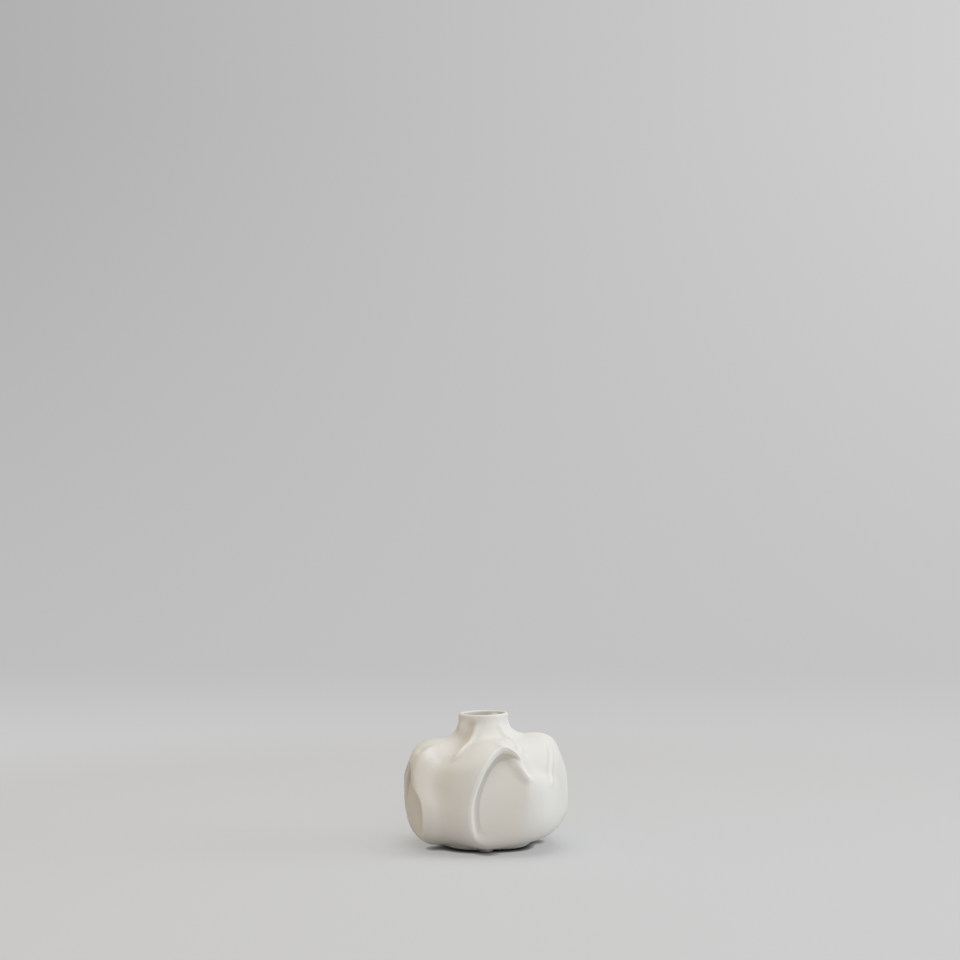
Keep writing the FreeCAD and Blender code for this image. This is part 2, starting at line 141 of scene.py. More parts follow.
class GlazeColours(bpy.types.PropertyGroup):
    """Colours of the matt body, linear."""

    body: FloatVectorProperty(name="Body", description="Colour of the matt white surface",
                              default=(0.80, 0.785, 0.755), subtype="COLOR", size=3, min=0.0, max=1.0)
    # Painted shade: the hollow colour darkens the concave places, standing in for the shade that falls there.
    hollow: FloatVectorProperty(name="Hollow", description="Painted shade: colour of the hollows",
                                default=(0.66, 0.63, 0.585), subtype="COLOR", size=3, min=0.0, max=1.0)
    # Painted highlight: the crest colour lightens the pinched crests, standing in for the light they catch.
    crest: FloatVectorProperty(name="Crest", description="Painted highlight: colour of the pinched crests",
                               default=(0.86, 0.85, 0.83), subtype="COLOR", size=3, min=0.0, max=1.0)
    bare_foot: FloatVectorProperty(name="Bare foot", description="Colour of the unglazed underside",
                                   default=(0.66, 0.60, 0.52), subtype="COLOR", size=3, min=0.0, max=1.0)


class PadSizes(bpy.types.PropertyGroup):
    """Sizes and colour of the stick-on pads."""

    radius: FloatProperty(name="Radius", description="Radius of a pad, in metres",
                          default=0.0085, subtype="DISTANCE", unit="LENGTH")
    height: FloatProperty(name="Height", description="Height of a pad with its film, in metres",
                          default=0.0024, subtype="DISTANCE", unit="LENGTH")
    ring: FloatProperty(name="Ring", description="Distance from the axis to a pad's middle, in metres",
                        default=0.0385, subtype="DISTANCE", unit="LENGTH")
    colour: FloatVectorProperty(name="Pad colour", description="Colour of the soft pad",
                                default=(0.62, 0.60, 0.57), subtype="COLOR", size=3, min=0.0, max=1.0)


class StudioLook(bpy.types.PropertyGroup):
    """Colours and strengths of the studio."""

    floor: FloatVectorProperty(name="Sweep", description="Colour of the paper sweep",
                               default=(0.68, 0.69, 0.71), subtype="COLOR", size=3, min=0.0, max=1.0)
    near: FloatVectorProperty(name="Near paper",
                              description="Colour that the camera sees on the paper round the vase",
                              default=(0.60, 0.60, 0.60), subtype="COLOR", size=3, min=0.0, max=1.0)
    self_lit: FloatProperty(name="Self lit",
                            description="Share of the near paper that the lamps don't change",
                            default=0.5, subtype="FACTOR", min=0.0, max=1.0)
    bounce: FloatVectorProperty(name="Bounce", description="Colour that the sweep throws back on to the vase",
                                default=(0.52, 0.505, 0.49), subtype="COLOR", size=3, min=0.0, max=1.0)
    key: FloatProperty(name="Key", description="Power of the lamp on the right, in watts",
                       default=29.5, unit="POWER", min=0.0)
    top: FloatProperty(name="Top", description="Power of the lamp overhead, in watts",
                       default=30.5, unit="POWER", min=0.0)
    front: FloatProperty(name="Front", description="Power of the lamp beside the camera, in watts",
                         default=21.0, unit="POWER", min=0.0)
    fill: FloatProperty(name="Fill", description="Strength of the warm light all round", default=0.54,
                        subtype="FACTOR", min=0.0, soft_max=2.0)


def smooth_step(x, low, high):
    """3t^2 - 2t^3 between low and high."""
    t = np.clip((x - low) / (high - low), 0.0, 1.0)
    return t * t * (3.0 - 2.0 * t)


def smooth_max(a, b, blend):
    """The larger of a and b, with a cubic round of width blend where they cross."""
    h = np.maximum(blend - np.abs(a - b), 0.0) / blend
    return np.maximum(a, b) + h ** 3 * blend / 6.0


def hermite(xs, ys, slopes, x):
    """Cubic through stations (xs, ys) with the given slopes."""
    i = np.clip(np.searchsorted(xs, x) - 1, 0, len(xs) - 2)
    h = xs[i + 1] - xs[i]
    t = np.clip((x - xs[i]) / h, 0.0, 1.0)
    t2, t3 = t * t, t ** 3
    return ((2 * t3 - 3 * t2 + 1) * ys[i] + (t3 - 2 * t2 + t) * h * slopes[i]
            + (3 * t2 - 2 * t3) * ys[i + 1] + (t3 - t2) * h * slopes[i + 1])


def through(xs, ys, x):
    """Cubic through stations, each with the slope of the parabola through its neighbours."""
    xs, ys = np.asarray(xs, float), np.asarray(ys, float)
    a, b = np.diff(xs)[:-1], np.diff(xs)[1:]
    inner = (a * a * ys[2:] + (b * b - a * a) * ys[1:-1] - b * b * ys[:-2]) / (a * b * (a + b))
    ends = np.diff(ys)[[0, -1]] / np.diff(xs)[[0, -1]]
    return hermite(xs, ys, np.concatenate([ends[:1], inner, ends[1:]]), x)


def around(values, angle):
    """Closed cubic through equally spaced values, angle in degrees."""
    values = np.asarray(values, float)
    n = len(values)
    step = FULL_TURN / n
    slopes = (np.roll(values, -1) - np.roll(values, 1)) / (2.0 * step)
    xs = np.arange(n + 1) * step
    return hermite(xs, np.append(values, values[0]), np.append(slopes, slopes[0]), angle % FULL_TURN)


def high_z(share):
    return BELLY_Z + share * (SHOULDER_Z - BELLY_Z)


def outline():
    """Superellipse from the base to the belly, another to the shoulder, a hollow curve to the neck, then
    straight to the rim. Each is r = r0 + a cos(e)^(2/p), z = z0 + b sin(e)^(2/p).

    Returns r, z and the length along it."""
    e = np.radians(90.0 * np.arange(TRACE_STEPS) / TRACE_STEPS)
    back = np.radians(90.0) - e
    r = [BASE_R + (BELLY_R - BASE_R) * np.cos(back) ** (2.0 / BASE_POWER),
         SHOULDER_R + (BELLY_R - SHOULDER_R) * np.cos(e) ** (2.0 / SHOULDER_POWER),
         SHOULDER_R - (SHOULDER_R - NECK_R) * np.cos(back) ** (2.0 / NECK_POWER),
         [NECK_R, NECK_R]]
    z = [BELLY_Z - (BELLY_Z - BASE_Z) * np.sin(back) ** (2.0 / BASE_POWER),
         BELLY_Z + (SHOULDER_Z - BELLY_Z) * np.sin(e) ** (2.0 / SHOULDER_POWER),
         NECK_Z - (NECK_Z - SHOULDER_Z) * np.sin(back) ** (2.0 / NECK_POWER),
         [NECK_Z, RIM_Z - LIP_DROP]]
    r, z = np.concatenate(r), np.concatenate(z)
    along = np.concatenate([[0.0], np.cumsum(np.hypot(np.diff(r), np.diff(z)))])
    return r, z, along


def valley(turn, r, place, left, right, depth, power, left_slope, right_slope, crease):
    """d = D (1 - (w/W)^p)^q, where w is the distance from the valley's line, softened at the line by the
    crease, and W its width and q its slope on that side."""
    deepest = np.zeros_like(r)
    for k in (-1, 0, 1):
        u = np.radians(turn - place - HALF_TURN * k) * r
        width, slope = np.where(u < 0.0, left, right), np.where(u < 0.0, left_slope, right_slope)
        soft = np.hypot(u, crease) - 0.5 * crease
        q = np.maximum(1.0 - np.minimum(soft / width, 1.0) ** power, 0.0)
        deepest = np.maximum(deepest, depth * q ** slope)
    return deepest


def side_share(angle, centre, spread):
    """Bell curve round one direction."""
    away = (angle - centre + HALF_TURN) % FULL_TURN - HALF_TURN
    return np.exp(-(away / spread) ** 2)


def dent(turn, r, z, sizes, deeper):
    """Down to a nearly flat, slightly bowed floor inside a drawn border; the wall between them goes
    1 - (1 - q)^2 of the way, q across the wall's width."""
    place, rise, reach, floor_depth, floor_turn, lean, bow, dish, wall, wall_right, wall_low = sizes
    deepest = np.zeros_like(r)
    for k in (-1, 0, 1):
        u = np.radians(turn - place - HALF_TURN * k) * np.maximum(r, DENT_MIN_R)
        v = z - BELLY_Z - rise
        angle = np.degrees(np.arctan2(v, u * DENT_STRETCH))
        width = (wall + (wall_right - wall) * side_share(angle, *DENT_RIGHT_SIDE)
                 + (wall_low - wall) * side_share(angle, *DENT_LOW_SIDE))
        q = np.clip((around(reach, angle) - np.hypot(u, v)) / width, 0.0, 1.0)
        q = np.where(np.abs(u) > DENT_CLIP_WIDTH, 0.0, q)
        h = v / DENT_HALF_HEIGHT
        floor_r = BELLY_R - floor_depth - deeper - lean * h - bow * h * h
        floor_r = floor_r + dish * (u / DENT_HALF_WIDTH) ** 2
        away = np.clip(turn - HALF_TURN * k - floor_turn, -DENT_TURN_LIMIT, DENT_TURN_LIMIT)
        floor_r = floor_r / np.cos(np.radians(away))
        depth = (1.0 - (1.0 - q) ** 2) * smooth_max(r - floor_r, 0.0, DENT_FLOOR_BLEND)
        deepest = np.where(q > 0.0, np.maximum(deepest, depth), deepest)
    return deepest


def crest(turn, r, z, s, path):
    """A pinched crest along a path of (height, turn): H exp(-(w / W)^2) of the distance w across it,
    faded at both ends. A height below zero makes a groove."""
    heights, turns, height, width = path
    low, high = heights[0], heights[-1]
    middle = through(heights, turns, z)
    slant = 1.0 / np.hypot(1.0, np.gradient(np.radians(middle), s) * r.mean(axis=1))
    grow = smooth_step(z, low - CREST_START, low + CREST_GROW)
    grow = grow * (1.0 - smooth_step(z, high - CREST_GROW, high + CREST_START))
    total = np.zeros_like(r)
    for k in (-1, 0, 1):
        u = np.radians(turn - middle[:, None] - HALF_TURN * k) * r * slant[:, None]
        total += height * grow[:, None] * np.exp(-(u / width) ** 2)
    return total


def hand_lean(p):
    """A sideways shift and a tilt that grow from the belly up and leave the base as it is."""
    x, y, z = p[..., 0], p[..., 1], p[..., 2]
    high = smooth_step(z, SHOULDER_Z, NECK_Z)
    low = smooth_step(z, BELLY_Z, SHOULDER_Z)
    tilt = np.radians(TILT_SHOULDER * low * (1.0 - high) + TILT_RIM * high)
    shift = SHIFT_TOP * smooth_step(z, BELLY_Z, NECK_Z) - CENTRE_X
    return np.stack([x + shift, y, z + x * tilt], axis=-1)


def grown(depth, gap, step, wall):
    """The outside's depth grown by a ball as thick as the wall, so that the wall is nowhere thinner: the
    largest of depth + sqrt(wall^2 - far^2) nearby."""
    best = np.zeros_like(depth)
    reach_j, reach_i = int(wall / step), int(wall / gap.min())
    for a in range(-reach_j, reach_j + 1):
        near = np.zeros_like(depth)
        if a >= 0:
            near[:len(depth) - a] = depth[a:]
        else:
            near[-a:] = depth[:a]
        for b in range(-reach_i, reach_i + 1):
            far = (a * step) ** 2 + (b * gap) ** 2
            lift = np.sqrt(np.maximum(wall * wall - far, 0.0))
            best = np.maximum(best, np.where(far <= wall * wall, np.roll(near, -b, axis=1) + lift, 0.0))
    return best


def body_grid(sizes):
    """Point (row, column) = outline point of the row, swollen to four sides, turned round the axis, and
    moved inwards along the outline's normal by the depth of the hollows.

    Returns the rows outside, over the lip and down the inside, and how sharp a crest or hollow each point
    lies on."""
    wall = sizes.wall / MM
    rs, zs, along = outline()
    columns = HALVES * HALF_COLUMNS
    s = np.linspace(0.0, along[-1], OUTER_ROWS)
    step = s[1]
    marks = [np.interp(BASE_Z + share * (BELLY_Z - BASE_Z), zs, along) for share in VALLEY_LOW_SHARES]
    marks += [np.interp(high_z(share), zs, along) for share in VALLEY_HIGH_SHARES]
    marks += [along[2 * TRACE_STEPS + TRACE_STEPS // 2], along[-1]]
    r, z = np.interp(s, along, rs), np.interp(s, along, zs)
    ahead, behind = np.minimum(s + NORMAL_REACH, along[-1]), np.maximum(s - NORMAL_REACH, 0.0)
    dr = np.interp(ahead, along, rs) - np.interp(behind, along, rs)
    dz = np.interp(ahead, along, zs) - np.interp(behind, along, zs)
    out_r, out_z = dz / np.hypot(dr, dz), -dr / np.hypot(dr, dz)

    def shared(low, high, mix):
        """low at the foot, high at the top, by the share mix on each row."""
        return (low + (high - low) * mix)[:, None]

    mix, flank, sharp = [smooth_step(z, high_z(low), high_z(high))
                         for low, high in (VALLEY_MIX, FLANK_MIX, BLEND_MIX)]
    grow = smooth_step(z, BASE_Z, BELLY_Z)
    square = SQUARE_BASE + (SQUARE_BELLY - SQUARE_BASE) * grow
    square *= 1.0 - smooth_step(z, high_z(VALLEY_HIGH_SHARES[-1]), NECK_Z)
    square_turn = SQUARE_TURN_BASE + (SQUARE_TURN_BELLY - SQUARE_TURN_BASE) * grow
    lip_z = RIM_Z - LIP_DROP
    fade = smooth_step(s, 0.0, BASE_FADE) * (1.0 - smooth_step(z, lip_z - RIM_FADE, lip_z))

    turn = (HALF_TURN * np.arange(HALF_COLUMNS) / HALF_COLUMNS + FIRST_TURN)[None, :]
    swell = np.cos(np.radians(2 * HALVES * (turn - square_turn[:, None])))
    full_r = r[:, None] * (1.0 + square[:, None] * swell)
    pressed = np.zeros_like(full_r)
    for tables, slopes in ((LEFT_VALLEY, RIGHT_FLANKS[0]), (RIGHT_VALLEY, RIGHT_FLANKS[1])):
        at = [through(marks, values, s)[:, None] for values in tables]
        deep = valley(turn, full_r, *at, shared(*VALLEY_POWERS, mix), shared(*LEFT_FLANK, mix),
                      shared(*slopes, flank), sizes.crease / MM)
        pressed = np.maximum(pressed, deep)
    level = np.broadcast_to(z[:, None], full_r.shape)
    hollow = np.maximum(dent(turn, full_r, level, FRONT_DENT, sizes.deeper / MM),
                        dent(turn, full_r, level, SIDE_DENT, sizes.deeper / MM))
    blend = shared(*HOLLOW_BLENDS, sharp)
    depth = smooth_max(pressed, hollow, blend) - blend / 6.0
    for path in CRESTS:
        depth -= crest(turn, full_r, z, s, path)
    depth *= fade[:, None]
    full_r, depth = np.tile(full_r, (1, HALVES)), np.tile(depth, (1, HALVES))

    angle = np.radians(FULL_TURN * np.arange(columns) / columns + FIRST_TURN)[None, :]

    def place(rr, zz):
        return np.stack([rr * np.sin(angle), -rr * np.cos(angle), np.broadcast_to(zz, rr.shape)], axis=-1)

    outer = place(full_r - out_r[:, None] * depth, z[:, None] - out_z[:, None] * depth)
    e = np.radians(HALF_TURN * np.arange(1, LIP_ROWS + 1) / (LIP_ROWS + 1))[:, None]
    lip = place(np.repeat(NECK_R - 0.5 * wall * (1.0 - np.cos(e)), columns, axis=1),
                RIM_Z - LIP_DROP * (1.0 - np.sin(e)))
    gap = np.radians(FULL_TURN / columns) * full_r
    deep = grown(depth, gap, step, wall)
    inner = place(full_r - out_r[:, None] * deep, z[:, None] - out_z[:, None] * deep)[::-1]
    floor_z = BASE_Z + FLOOR_T
    inner[..., 2] = smooth_max(inner[..., 2], floor_z, FLOOR_ROUND)
    edge = INNER_EDGE_ROWS
    inner = np.concatenate([inner[:edge], inner[edge:-edge:INNER_SKIP], inner[-edge:]])
    last = inner[-1]
    last_r = np.hypot(last[:, 0], last[:, 1])[:, None]
    flat = [np.column_stack([last[:, :2] * (1.0 - share * FLOOR_ROUND / last_r), np.full(columns, floor_z)])
            for share in FLOOR_RING_SHARES]
    rows = hand_lean(np.concatenate([outer, lip, inner, np.array(flat)]))

    # A crest stands above the mean of its neighbours and a hollow lies below it
    n = BEND_COLUMNS
    bend = (np.roll(depth, n, axis=1) + np.roll(depth, -n, axis=1)) / 2.0 - depth
    bend[n:-n] += (depth[2 * n:] + depth[:-2 * n]) / 2.0 - depth[n:-n]
    marks_out = np.zeros(rows.shape[:2])
    marks_out[:OUTER_ROWS] = bend
    return rows, marks_out


def grid_mesh(name, rows, close_start=None, close_end=None):
    """Rings of points joined into quads round a closed loop, each end closed by a fan to a middle point."""
    n_rows, n_cols = rows.shape[:2]
    points = rows.reshape(-1, 3)
    i, j = np.meshgrid(np.arange(n_cols), np.arange(n_rows - 1))
    a, b = j * n_cols + i, j * n_cols + (i + 1) % n_cols
    quads = np.stack([a, b, b + n_cols, a + n_cols], axis=-1).reshape(-1, 4)
    faces = quads.tolist()
    ring = np.arange(n_cols)
    if close_start is not None:
        points = np.vstack([points, close_start])
        fan = np.column_stack([np.full(n_cols, len(points) - 1), (ring + 1) % n_cols, ring])
        faces += fan.tolist()
    if close_end is not None:
        points = np.vstack([points, close_end])
        last = (n_rows - 1) * n_cols
        fan = np.column_stack([np.full(n_cols, len(points) - 1), last + ring, last + (ring + 1) % n_cols])
        faces += fan.tolist()
    mesh = bpy.data.meshes.new(name)
    mesh.from_pydata((points * MM).tolist(), [], faces)
    mesh.polygons.foreach_set("use_smooth", np.ones(len(mesh.polygons), dtype=bool))
    mesh.update()
    piece = bpy.data.objects.new(name, mesh)
    bpy.context.scene.collection.objects.link(piece)
    return piece


def set_attribute(piece, name, values):
    """A number on each point, which the material reads by name."""
    layer = piece.data.attributes.new(name, "FLOAT", "POINT")
    full = np.zeros(len(piece.data.vertices), dtype=np.float32)
    full[:values.size] = values.ravel()
    layer.data.foreach_set("value", full)


def node_group(name, inputs, outputs):
    """An empty shader group with named inputs (name, kind, default) and outputs (name, kind)."""
    group = bpy.data.node_groups.new(name, "ShaderNodeTree")
    for label, kind, value in inputs:
        socket = group.interface.new_socket(name=label, in_out="INPUT", socket_type=kind)
        socket.default_value = value
    for label, kind in outputs:
        group.interface.new_socket(name=label, in_out="OUTPUT", socket_type=kind)
    return group, group.nodes.new("NodeGroupInput"), group.nodes.new("NodeGroupOutput")


def fine_grain_group():
    """Cloudy tone in patches and a fine grain on top, both from noise on Object coordinates. Tone is a
    colour multiplier round 1, Height is for a bump."""
    group, given, out = node_group(
        "fine_grain",
        [("Patch Scale", "NodeSocketFloat", 18.0), ("Grain Scale", "NodeSocketFloat", 900.0),
         ("Tone Depth", "NodeSocketFloat", 0.03), ("Grain Depth", "NodeSocketFloat", 0.02)],
        [("Tone", "NodeSocketColor"), ("Patch", "NodeSocketFloat"), ("Height", "NodeSocketFloat")])
    nodes, links = group.nodes, group.links
    coords = nodes.new("ShaderNodeTexCoord")
    patch = nodes.new("ShaderNodeTexNoise")
    patch.inputs["Detail"].default_value = 4.0
    patch.inputs["Roughness"].default_value = 0.55
    grain = nodes.new("ShaderNodeTexNoise")
    grain.inputs["Detail"].default_value = 3.0
    grain.inputs["Roughness"].default_value = 0.6
    for noise, scale in ((patch, "Patch Scale"), (grain, "Grain Scale")):
        links.new(coords.outputs["Object"], noise.inputs["Vector"])
        links.new(given.outputs[scale], noise.inputs["Scale"])
    soft = maths(group, "SUBTRACT", patch.outputs["Fac"], 0.5)
    soft = maths(group, "MULTIPLY", soft, given.outputs["Tone Depth"])
    fine = maths(group, "SUBTRACT", grain.outputs["Fac"], 0.5)
    fine = maths(group, "MULTIPLY", fine, given.outputs["Grain Depth"])
    both = maths(group, "ADD", soft, fine)
    tone = maths(group, "ADD", both, 1.0)
    links.new(grey(group, tone), out.inputs["Tone"])
    links.new(patch.outputs["Fac"], out.inputs["Patch"])
    links.new(grain.outputs["Fac"], out.inputs["Height"])
    return group


def speck_group():
    """Sparse small dots where a fine cell's random number is high: Mask is 1 on a dot."""
    group, given, out = node_group(
        "clay_specks",
        [("Scale", "NodeSocketFloat", 260.0), ("Size", "NodeSocketFloat", 0.10),
         ("Share", "NodeSocketFloat", 0.06)],
        [("Mask", "NodeSocketFloat")])
    nodes, links = group.nodes, group.links
    coords = nodes.new("ShaderNodeTexCoord")
    cells = nodes.new("ShaderNodeTexVoronoi")
    links.new(coords.outputs["Object"], cells.inputs["Vector"])
    links.new(given.outputs["Scale"], cells.inputs["Scale"])
    split = nodes.new("ShaderNodeSeparateColor")
    links.new(cells.outputs["Color"], split.inputs["Color"])
    chosen = maths(group, "LESS_THAN", split.outputs["Red"], given.outputs["Share"])
    near = maths(group, "LESS_THAN", cells.outputs["Distance"], given.outputs["Size"])
    links.new(maths(group, "MULTIPLY", chosen, near), out.inputs["Mask"])
    return group


def maths(tree, operation, a, b):
    """A maths node fed by sockets or numbers."""
    node = tree.nodes.new("ShaderNodeMath")
    node.operation = operation
    for slot, value in zip(node.inputs, (a, b)):
        if isinstance(value, (int, float)):
            slot.default_value = value
        else:
            tree.links.new(value, slot)
    return node.outputs["Value"]


def mixed(tree, kind, share, a, b):
    """A colour mix node; share, a and b are sockets, numbers or colours."""
    node = tree.nodes.new("ShaderNodeMix")
    node.data_type = "RGBA"
    node.blend_type = kind
    for label, value in (("Factor_Float", share), ("A_Color", a), ("B_Color", b)):
        slot = next(s for s in node.inputs if s.identifier == label)
        if isinstance(value, (int, float)):
            slot.default_value = value
        elif isinstance(value, tuple):
            slot.default_value = value + (1.0,)
        else:
            tree.links.new(value, slot)
    return next(s for s in node.outputs if s.identifier == "Result_Color")


def new_material(name, roughness, specular):
    material = bpy.data.materials.new(name)
    material.use_nodes = True
    shader = material.node_tree.nodes["Principled BSDF"]
    shader.inputs["Roughness"].default_value = roughness
    shader.inputs["Specular IOR Level"].default_value = specular
    return material, material.node_tree, shader


def place_group(tree, group, **values):
    node = tree.nodes.new("ShaderNodeGroup")
    node.node_tree = group
    for label, value in values.items():
        node.inputs[label.replace("_", " ")].default_value = value
    return node


def add_bump(tree, shader, height, strength, distance):
    bump = tree.nodes.new("ShaderNodeBump")
    bump.inputs["Strength"].default_value = strength
    bump.inputs["Distance"].default_value = distance
    tree.links.new(height, bump.inputs["Height"])
    tree.links.new(bump.outputs["Normal"], shader.inputs["Normal"])


def matt_ceramic(colours, grain_group, specks):
    """Matt bone-white coat: cloudy tone, painted shade a touch deeper in the hollows and a painted
    highlight paler on the crests, with faint specks and a fine tooth."""
    material, tree, shader = new_material("matt_ceramic", 0.62, 0.35)
    grain = place_group(tree, grain_group, Patch_Scale=22.0, Grain_Scale=1400.0,
                        Tone_Depth=0.05, Grain_Depth=0.02)
    speck = place_group(tree, specks, Scale=420.0, Size=0.16, Share=0.05)
    bend = tree.nodes.new("ShaderNodeAttribute")
    bend.attribute_name = "bend"
    # Painted shade: the hollow colour darkens concave places, where the bend is below zero.
    body = mixed(tree, "MIX", map_range(tree, bend.outputs["Fac"], -2.2, -0.2),
                 tuple(colours.hollow), tuple(colours.body))
    # Painted highlight: the crest colour lightens convex places, where the bend is above zero.
    body = mixed(tree, "MIX", map_range(tree, bend.outputs["Fac"], 0.3, 2.0), body, tuple(colours.crest))
    toned = mixed(tree, "MULTIPLY", 1.0, body, grain.outputs["Tone"])
    dots = maths(tree, "MULTIPLY", speck.outputs["Mask"], 0.10)
    dotted = mixed(tree, "MIX", dots, toned, (0.42, 0.36, 0.29))
    tree.links.new(dotted, shader.inputs["Base Color"])
    rough = maths(tree, "MULTIPLY", grain.outputs["Patch"], 0.16)
    tree.links.new(maths(tree, "ADD", rough, 0.54), shader.inputs["Roughness"])
    add_bump(tree, shader, grain.outputs["Height"], 0.12, 0.0004)
    return material


def bare_clay(colours, grain_group, specks):
    """Unglazed foot: darker fired clay, rough, with more specks."""
    material, tree, shader = new_material("bare_clay", 0.85, 0.2)
    grain = place_group(tree, grain_group, Patch_Scale=60.0, Grain_Scale=2200.0,
                        Tone_Depth=0.14, Grain_Depth=0.10)
    speck = place_group(tree, specks, Scale=600.0, Size=0.22, Share=0.12)
    toned = mixed(tree, "MULTIPLY", 1.0, tuple(colours.bare_foot), grain.outputs["Tone"])
    dots = maths(tree, "MULTIPLY", speck.outputs["Mask"], 0.35)
    dotted = mixed(tree, "MIX", dots, toned, (0.30, 0.24, 0.18))
    tree.links.new(dotted, shader.inputs["Base Color"])
    add_bump(tree, shader, grain.outputs["Height"], 0.3, 0.0003)
    return material


def soft_pad(pads, grain_group):
    """Soft pad: pale and matt, with a fine tooth."""
    material, tree, shader = new_material("soft_pad", 0.55, 0.4)
    grain = place_group(tree, grain_group, Patch_Scale=200.0, Grain_Scale=3000.0,
                        Tone_Depth=0.08, Grain_Depth=0.05)
    toned = mixed(tree, "MULTIPLY", 1.0, tuple(pads.colour), grain.outputs["Tone"])
    tree.links.new(toned, shader.inputs["Base Color"])
    add_bump(tree, shader, grain.outputs["Height"], 0.15, 0.0002)
    return material


def grey(tree, value):
    """A grey colour from one value."""
    node = tree.nodes.new("ShaderNodeCombineColor")
    for channel in ("Red", "Green", "Blue"):
        tree.links.new(value, node.inputs[channel])
    return node.outputs["Color"]


def map_range(tree, value, low, high, smooth=False):
    """0 at low, 1 at high."""
    node = tree.nodes.new("ShaderNodeMapRange")
    node.interpolation_type = "SMOOTHSTEP" if smooth else "LINEAR"
    node.inputs["From Min"].default_value = low
    node.inputs["From Max"].default_value = high
    tree.links.new(value, node.inputs["Value"])
    return node.outputs["Result"]


def paper_sweep(studio, grain_group):
    """Matt paper that takes the vase's shadow, with painted shade from an occlusion node making it darkest
    where the vase all but touches it. The camera sees a share of a glowing backdrop in it, all of it further
    away, with painted light that brightens it from left to right and towards the floor. To the vase the
    paper throws back one plain colour."""
    material, tree, shader = new_material("paper_sweep", 0.9, 0.1)
    grain = place_group(tree, grain_group, Patch_Scale=0.6, Grain_Scale=300.0,
                        Tone_Depth=0.02, Grain_Depth=0.01)
    toned = mixed(tree, "MULTIPLY", 1.0, tuple(studio.floor), grain.outputs["Tone"])
    path = tree.nodes.new("ShaderNodeLightPath")
    seen = maths(tree, "MAXIMUM", path.outputs["Is Camera Ray"], path.outputs["Is Glossy Ray"])
    seen = maths(tree, "MAXIMUM", seen, path.outputs["Is Transmission Ray"])
    # Painted shade: an occlusion node darkens the paper where the vase all but touches it.
    near = tree.nodes.new("ShaderNodeAmbientOcclusion")
    near.samples = 16
    near.inputs["Distance"].default_value = 0.008
    painted_contact_shade = maths(tree, "POWER", near.outputs["AO"], 1.7)
    dark = mixed(tree, "MULTIPLY", 1.0, toned, grey(tree, painted_contact_shade))
    tree.links.new(mixed(tree, "MIX", seen, tuple(studio.bounce), dark), shader.inputs["Base Color"])
    place = tree.nodes.new("ShaderNodeTexCoord")
    split = tree.nodes.new("ShaderNodeSeparateXYZ")
    tree.links.new(place.outputs["Object"], split.inputs["Vector"])
    # Painted light: the backdrop's glow brightens from left to right and changes with height, standing in for
    # how the studio light falls on it.
    across = map_range(tree, split.outputs["X"], -1.9, 1.9)
    high = map_range(tree, split.outputs["Z"], 0.0, 1.7)
    low_tone = mixed(tree, "MIX", across, (0.505, 0.505, 0.505), (0.565, 0.565, 0.565))
    high_tone = mixed(tree, "MIX", across, (0.425, 0.425, 0.425), (0.635, 0.635, 0.635))
    tone = mixed(tree, "MIX", high, low_tone, high_tone)
    front = map_range(tree, split.outputs["Y"], 2.6, 0.6, smooth=True)
    tone = mixed(tree, "MIX", front, tone, tuple(studio.near))
    # The same painted shade darkens the glowing paper near the vase as well.
    tone = mixed(tree, "MULTIPLY", 1.0, tone, grey(tree, painted_contact_shade))
    glow = tree.nodes.new("ShaderNodeEmission")
    tree.links.new(tone, glow.inputs["Color"])
    flat = tree.nodes.new("ShaderNodeVectorMath")
    flat.operation = "LENGTH"
    tree.links.new(place.outputs["Object"], flat.inputs[0])
    far = map_range(tree, flat.outputs["Value"], 0.3, 1.3, smooth=True)
    blend = tree.nodes.new("ShaderNodeMixShader")
    share = maths(tree, "MAXIMUM", far, studio.self_lit)
    tree.links.new(maths(tree, "MULTIPLY", seen, share), blend.inputs["Fac"])
    tree.links.new(shader.outputs["BSDF"], blend.inputs[1])
    tree.links.new(glow.outputs["Emission"], blend.inputs[2])
    tree.links.new(blend.outputs["Shader"], tree.nodes["Material Output"].inputs["Surface"])
    return material


def shared_group(name, build):
    return bpy.data.node_groups.get(name) or build()


class PILLOWVASE_OT_body(bpy.types.Operator):
    """Casts the pressed-in body with its neck, rim and inside"""

    bl_idname = "pillow_vase.body"
    bl_label = "Cast the body"

    def execute(self, context):
        scene = context.scene
        rows, bend = body_grid(scene.vase_sizes)
        middle_low = rows[0].mean(axis=0)
        middle_in = rows[-1].mean(axis=0)
        piece = grid_mesh("cast_body", rows, close_start=middle_low, close_end=middle_in)
        # The material reads the bend to paint shade in the hollows and a highlight on the crests.
        set_attribute(piece, "bend", bend)
        grain = shared_group("fine_grain", fine_grain_group)
        specks = shared_group("clay_specks", speck_group)
        piece.data.materials.append(matt_ceramic(scene.glaze_colours, grain, specks))
        piece.data.materials.append(bare_clay(scene.glaze_colours, grain, specks))
        quads = (rows.shape[0] - 1) * rows.shape[1]
        slots = np.zeros(len(piece.data.polygons), dtype=np.int32)
        slots[quads:quads + rows.shape[1]] = 1
        piece.data.polygons.foreach_set("material_index", slots)
        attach(piece, "root")
        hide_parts("vase_body")
        return {"FINISHED"}


